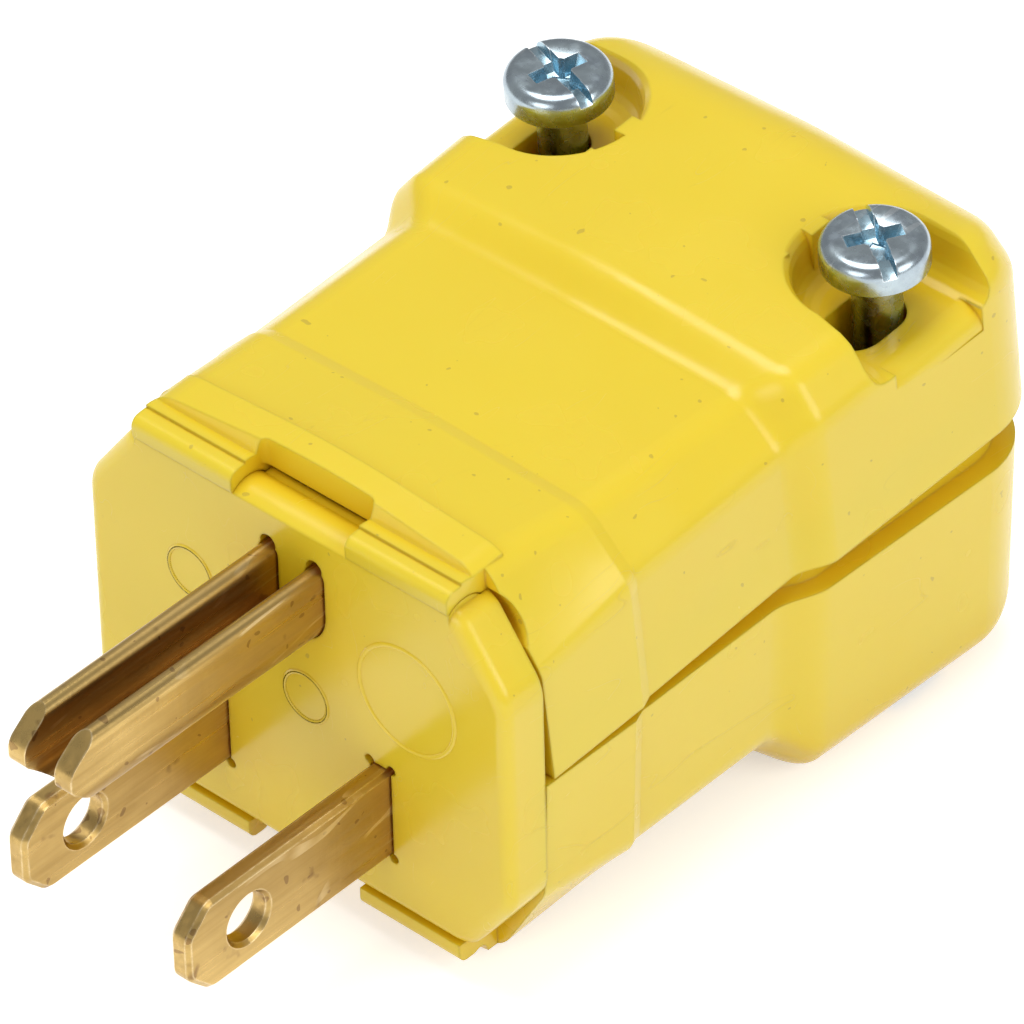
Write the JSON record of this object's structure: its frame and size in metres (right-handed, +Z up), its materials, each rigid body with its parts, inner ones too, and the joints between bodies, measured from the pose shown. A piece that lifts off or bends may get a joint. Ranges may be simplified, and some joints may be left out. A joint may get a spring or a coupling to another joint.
{
  "type": "type b plug",
  "caption": "Yellow three-wire plug, two flat brass blades and a channel ground pin, body that opens like a suitcase with two screws backed out.",
  "frame": {"origin": "on the mating face, midway between the two flat blades", "axes": "+X across the face to the viewer's right, +Y into the body (blades point to -Y), +Z up towards the ground pin"},
  "size_m": [0.0344, 0.0671, 0.0327],
  "materials": {
    "yellow_nylon": "gloss",
    "black_plate": "matte",
    "brass": "brushed",
    "nickel_screw": "satin",
    "green_screw": "satin",
    "zinc_plate": "satin",
    "fibre": "matte"
  },
  "bodies": {
    "base": {"lower_cover": "yellow_nylon", "contact_carrier": "yellow_nylon", "blade_retainer": "black_plate", "ground_pin": "brass", "left_blade": "brass", "right_blade": "brass", "left_terminal_clamp": "brass", "right_terminal_clamp": "brass", "ground_terminal_clamp": "brass", "left_terminal_screw": "nickel_screw", "right_terminal_screw": "brass", "ground_terminal_screw": "green_screw", "left_nut": "zinc_plate", "right_nut": "zinc_plate"},
    "cover": {"upper_cover": "yellow_nylon"},
    "left_washer": {"left_screw_retainer": "fibre"},
    "right_washer": {"right_screw_retainer": "fibre"},
    "left_screw": {"left_closing_screw": "zinc_plate"},
    "right_screw": {"right_closing_screw": "zinc_plate"}
  },
  "joints": [
    {"name": "cover_hinge", "type": "hinge", "parent": "base", "child": "cover", "pos_m": [0, 0.0013, 0.01595], "axis": [1, 0, 0], "range_deg": [-3.55, 85]},
    {"name": "left_screw_travel", "type": "slide", "parent": "cover", "child": "left_washer", "axis": [0, -0.0628, 0.998], "range_m": [-0.0036, 0.0003]},
    {"name": "left_screw_turn", "type": "hinge", "parent": "left_washer", "child": "left_screw", "pos_m": [-0.0121, 0.03629, 0.0172], "axis": [0, -0.0628, 0.998], "range_deg": [-1640, 140]},
    {"name": "right_screw_travel", "type": "slide", "parent": "cover", "child": "right_washer", "axis": [0, -0.0628, 0.998], "range_m": [-0.0036, 0.0003]},
    {"name": "right_screw_turn", "type": "hinge", "parent": "right_washer", "child": "right_screw", "pos_m": [0.0121, 0.03629, 0.0172], "axis": [0, -0.0628, 0.998], "range_deg": [-1640, 140]}
  ],
  "couplings": [
    {"joint": "left_screw_turn", "follows": "left_screw_travel", "rad_per_m": 7915.8},
    {"joint": "right_screw_turn", "follows": "right_screw_travel", "rad_per_m": 7915.8}
  ]
}
